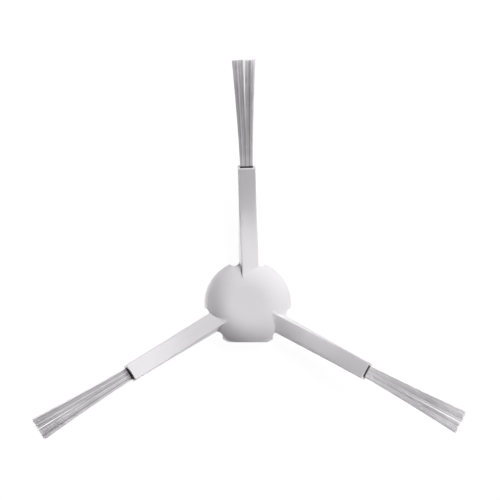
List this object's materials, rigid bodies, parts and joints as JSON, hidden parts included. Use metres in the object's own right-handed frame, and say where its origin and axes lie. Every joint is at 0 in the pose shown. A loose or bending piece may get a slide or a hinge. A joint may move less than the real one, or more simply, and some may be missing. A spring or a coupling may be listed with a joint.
{
  "type": "robot vacuum side brush",
  "caption": "Side brush of a robot vacuum: a domed push-on hub with twisted arms that rise outwards, each ending in a slotted socket that holds a fan of nylon bristles.",
  "frame": {"origin": "mouth of the drive socket, on the spin axis in the plane of the hub's rim", "axes": "+Z along the spin axis towards the domed side, +Y along the first arm"},
  "size_m": [0.1499, 0.131, 0.024],
  "materials": {
    "light_plastic": "smooth satin moulding in very light grey",
    "grey_bristle": "slightly translucent grey nylon filament"
  },
  "bodies": {
    "root": {"hub_and_arms": "light_plastic", "bristle_tuft_1": "grey_bristle", "bristle_tuft_2": "grey_bristle", "bristle_tuft_3": "grey_bristle"}
  },
  "joints": []
}
